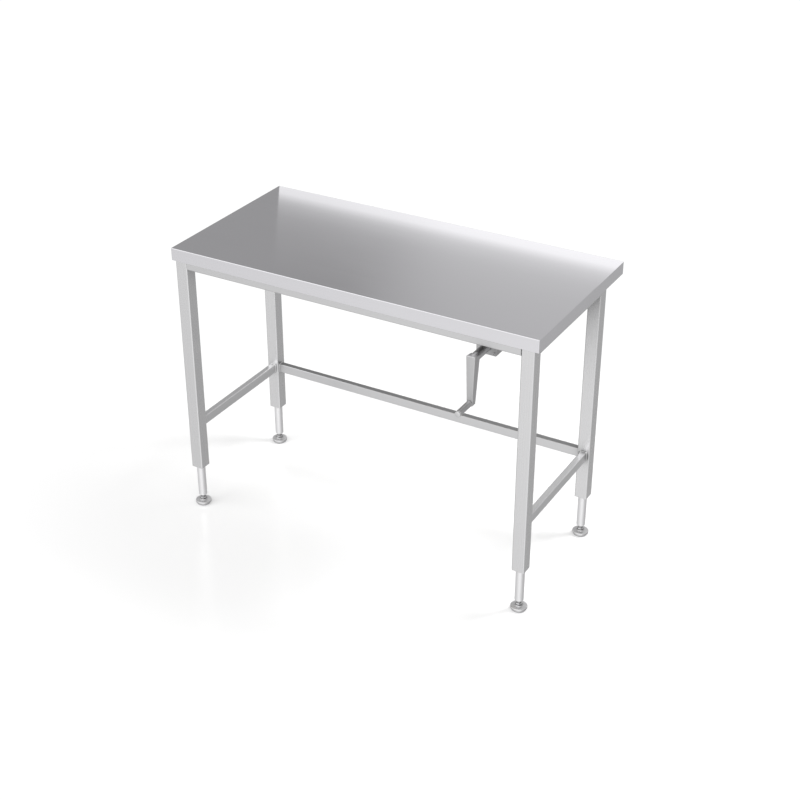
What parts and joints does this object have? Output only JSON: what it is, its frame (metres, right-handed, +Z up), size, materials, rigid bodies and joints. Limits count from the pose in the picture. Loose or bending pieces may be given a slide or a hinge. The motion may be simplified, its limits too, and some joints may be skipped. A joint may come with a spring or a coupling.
{
  "type": "height-adjustable steel table",
  "caption": "Stainless steel work table on telescopic legs that a hand crank raises and lowers together, with levelling feet.",
  "frame": {"origin": "on the floor, under the middle of the bounding box that runs from the crank's grip to the top's rear edge", "axes": "+X to the right along the table's long side, +Y to the back, +Z up; the crank is at the front right, at -Y and +X"},
  "size_m": [1.2, 0.688, 0.9],
  "materials": {
    "brushed_steel": "satin brushed stainless steel",
    "drawn_steel": "smooth drawn stainless tube",
    "dull_steel": "plain turned and milled steel",
    "cast_steel": "bead-blasted stainless casting",
    "satin_metal": "satin cast metal",
    "dark_metal": "mid grey satin coating",
    "chrome": "ground and chromed rod",
    "plastic": "dark matt plastic",
    "rubber": "light grey rubber",
    "hose": "dark matt tubing",
    "board": "bare board, out of sight"
  },
  "bodies": {
    "leg_front_left": {"inner_leg_front_left": "drawn_steel", "lift_ram_front_left": "chrome"},
    "frame": {"table_top": "brushed_steel", "backing_board": "board", "outer_leg_front_left": "brushed_steel", "outer_leg_front_right": "brushed_steel", "outer_leg_rear_left": "brushed_steel", "outer_leg_rear_right": "brushed_steel", "top_rail_front": "brushed_steel", "top_rail_rear": "brushed_steel", "top_rail_left": "brushed_steel", "top_rail_right": "brushed_steel", "lower_rail_rear": "brushed_steel", "lower_rail_left": "brushed_steel", "lower_rail_right": "brushed_steel", "guide_bush_front_left": "plastic", "guide_bush_front_right": "plastic", "guide_bush_rear_left": "plastic", "guide_bush_rear_right": "plastic", "lift_cylinder_front_left": "dull_steel", "lift_cylinder_front_right": "dull_steel", "lift_cylinder_rear_left": "dull_steel", "lift_cylinder_rear_right": "dull_steel", "pump_bearer_left": "dull_steel", "pump_bearer_right": "dull_steel", "pump_hanger_front": "dull_steel", "pump_hanger_rear": "dull_steel", "pump_front_plate": "dark_metal", "pump_housing": "dark_metal", "pump_cylinder_block": "dark_metal", "crank_bush": "dull_steel", "hose_front_left": "hose", "hose_front_right": "hose", "hose_rear_left": "hose", "hose_rear_right": "hose"},
    "crank": {"crank_arm": "satin_metal", "crank_spindle": "dull_steel", "grip_pin": "chrome"},
    "grip": {"crank_grip": "satin_metal"},
    "plungers": {"pump_plunger_plate": "dull_steel"},
    "foot_front_left": {"foot_disc_front_left": "cast_steel", "foot_pad_front_left": "rubber"},
    "stem_front_left": {"foot_stem_front_left": "dull_steel"},
    "leg_front_right": {"inner_leg_front_right": "drawn_steel", "lift_ram_front_right": "chrome"},
    "foot_front_right": {"foot_disc_front_right": "cast_steel", "foot_pad_front_right": "rubber"},
    "stem_front_right": {"foot_stem_front_right": "dull_steel"},
    "leg_rear_left": {"inner_leg_rear_left": "drawn_steel", "lift_ram_rear_left": "chrome"},
    "foot_rear_left": {"foot_disc_rear_left": "cast_steel", "foot_pad_rear_left": "rubber"},
    "stem_rear_left": {"foot_stem_rear_left": "dull_steel"},
    "leg_rear_right": {"inner_leg_rear_right": "drawn_steel", "lift_ram_rear_right": "chrome"},
    "foot_rear_right": {"foot_disc_rear_right": "cast_steel", "foot_pad_rear_right": "rubber"},
    "stem_rear_right": {"foot_stem_rear_right": "dull_steel"}
  },
  "joints": [
    {"name": "table_lift", "type": "slide", "parent": "leg_front_left", "child": "frame", "axis": [0, 0, 1], "range_m": [-0.078, 0.12]},
    {"name": "crank_turn", "type": "hinge", "parent": "frame", "child": "crank", "pos_m": [0.4215, -0.27445, 0.8118], "axis": [0, 1, 0], "range_deg": [-4680, 7200]},
    {"name": "grip_spin", "type": "hinge", "parent": "crank", "child": "grip", "pos_m": [0.4215, -0.27445, 0.6818], "axis": [0, 1, 0], "continuous": true},
    {"name": "plunger_slide", "type": "slide", "parent": "frame", "child": "plungers", "axis": [0, 1, 0], "range_m": [-0.039, 0.06]},
    {"name": "foot_slide_front_left", "type": "slide", "parent": "leg_front_left", "child": "foot_front_left", "axis": [0, 0, -1], "range_m": [-0.007, 0.0175]},
    {"name": "foot_turn_front_left", "type": "hinge", "parent": "foot_front_left", "child": "stem_front_left", "pos_m": [-0.5675, -0.20895, 0.02], "axis": [0, 0, -1], "range_deg": [-1440, 3600]},
    {"name": "leg_slide_front_right", "type": "slide", "parent": "frame", "child": "leg_front_right", "axis": [0, 0, -1], "range_m": [-0.078, 0.12]},
    {"name": "foot_slide_front_right", "type": "slide", "parent": "leg_front_right", "child": "foot_front_right", "axis": [0, 0, -1], "range_m": [-0.007, 0.0175]},
    {"name": "foot_turn_front_right", "type": "hinge", "parent": "foot_front_right", "child": "stem_front_right", "pos_m": [0.5675, -0.20895, 0.02], "axis": [0, 0, -1], "range_deg": [-1440, 3600]},
    {"name": "leg_slide_rear_left", "type": "slide", "parent": "frame", "child": "leg_rear_left", "axis": [0, 0, -1], "range_m": [-0.078, 0.12]},
    {"name": "foot_slide_rear_left", "type": "slide", "parent": "leg_rear_left", "child": "foot_rear_left", "axis": [0, 0, -1], "range_m": [-0.007, 0.0175]},
    {"name": "foot_turn_rear_left", "type": "hinge", "parent": "foot_rear_left", "child": "stem_rear_left", "pos_m": [-0.5675, 0.23555, 0.02], "axis": [0, 0, -1], "range_deg": [-1440, 3600]},
    {"name": "leg_slide_rear_right", "type": "slide", "parent": "frame", "child": "leg_rear_right", "axis": [0, 0, -1], "range_m": [-0.078, 0.12]},
    {"name": "foot_slide_rear_right", "type": "slide", "parent": "leg_rear_right", "child": "foot_rear_right", "axis": [0, 0, -1], "range_m": [-0.007, 0.0175]},
    {"name": "foot_turn_rear_right", "type": "hinge", "parent": "foot_rear_right", "child": "stem_rear_right", "pos_m": [0.5675, 0.23555, 0.02], "axis": [0, 0, -1], "range_deg": [-1440, 3600]}
  ],
  "couplings": [
    {"joint": "crank_turn", "follows": "table_lift", "rad_per_m": 1047.2},
    {"joint": "plunger_slide", "follows": "table_lift", "ratio": 0.5},
    {"joint": "foot_turn_front_left", "follows": "foot_slide_front_left", "rad_per_m": 3590.4},
    {"joint": "leg_slide_front_right", "follows": "table_lift", "ratio": 1},
    {"joint": "foot_turn_front_right", "follows": "foot_slide_front_right", "rad_per_m": 3590.4},
    {"joint": "leg_slide_rear_left", "follows": "table_lift", "ratio": 1},
    {"joint": "foot_turn_rear_left", "follows": "foot_slide_rear_left", "rad_per_m": 3590.4},
    {"joint": "leg_slide_rear_right", "follows": "table_lift", "ratio": 1},
    {"joint": "foot_turn_rear_right", "follows": "foot_slide_rear_right", "rad_per_m": 3590.4}
  ]
}
